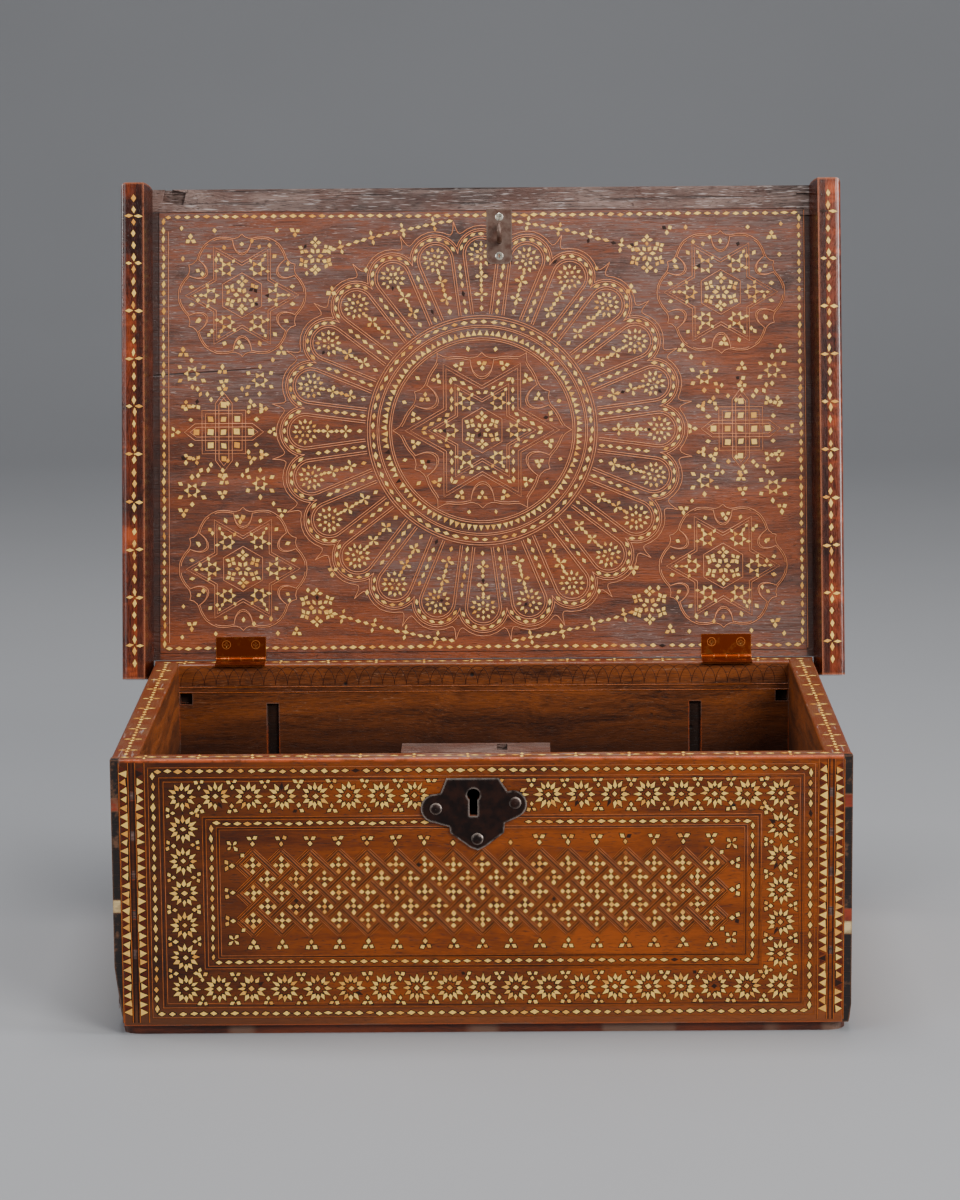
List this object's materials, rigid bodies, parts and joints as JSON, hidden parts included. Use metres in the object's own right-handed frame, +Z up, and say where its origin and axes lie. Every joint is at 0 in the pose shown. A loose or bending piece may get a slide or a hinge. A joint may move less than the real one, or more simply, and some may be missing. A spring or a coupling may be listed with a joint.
{
  "type": "inlaid wooden box",
  "caption": "Rectangular wooden box with a hinged lid standing open, thick walls, side battens, brass hinges, an iron escutcheon and a surface lock, inlaid all over.",
  "frame": {"origin": "centre of the underside, where the box stands", "axes": "+X to the right seen from the front, +Y to the back where the hinges are, +Z up"},
  "size_m": [0.5034, 0.4212, 0.5077],
  "materials": {
    "walnut": "old waxed wood, rubbed along the edges",
    "walnut_inside": "bare dark wood, scuffed",
    "walnut_lid": "dry raised grain with a dull sheen",
    "batten_wood": "dark red polish, worn to black in places",
    "raw_wood": "rough grey weathered wood",
    "ebony": "black wood inlay",
    "red_wood": "red wood inlay",
    "bone": "old polished bone, ivory yellow",
    "brass": "warm brass, polished on the knuckles",
    "iron": "dark brown iron with bright worn edges",
    "nickel": "bright plated screw heads"
  },
  "bodies": {
    "box": {"front_board": "walnut", "back_board": "walnut_inside", "side_board_left": "walnut", "side_board_right": "walnut", "bottom_board": "walnut_inside", "bottom_nails": "iron", "corner_pegs_front": "raw_wood", "corner_pegs_back": "raw_wood", "edge_blocks_black": "ebony", "edge_blocks_red": "red_wood", "edge_blocks_bone": "bone", "escutcheon": "iron", "escutcheon_studs": "iron", "lock_block": "raw_wood", "lock_block_nails": "iron", "lock_plate": "iron", "bolt_guides": "iron", "lock_spring": "iron", "hinge_leaf_box_left": "brass", "hinge_leaf_box_right": "brass", "hinge_pin_left": "brass", "hinge_pin_right": "brass", "hinge_screws_box": "nickel"},
    "lid": {"lid_panel": "walnut_lid", "lid_front_strip": "raw_wood", "lid_corner_patch": "raw_wood", "batten_left": "batten_wood", "batten_right": "batten_wood", "batten_pegs": "raw_wood", "hinge_leaf_lid_left": "brass", "hinge_leaf_lid_right": "brass", "hinge_screws_lid": "nickel", "staple_plate": "iron", "staple": "iron", "staple_screws": "nickel"},
    "bolt": {"lock_bolt": "iron"}
  },
  "joints": [
    {"name": "lid_hinge", "type": "hinge", "parent": "box", "child": "lid", "pos_m": [0, 0.164, 0.1764], "axis": [1, 0, 0], "range_deg": [0, 102]},
    {"name": "lock_bolt_slide", "type": "slide", "parent": "box", "child": "bolt", "axis": [1, 0, 0], "range_m": [0, 0.01]}
  ]
}
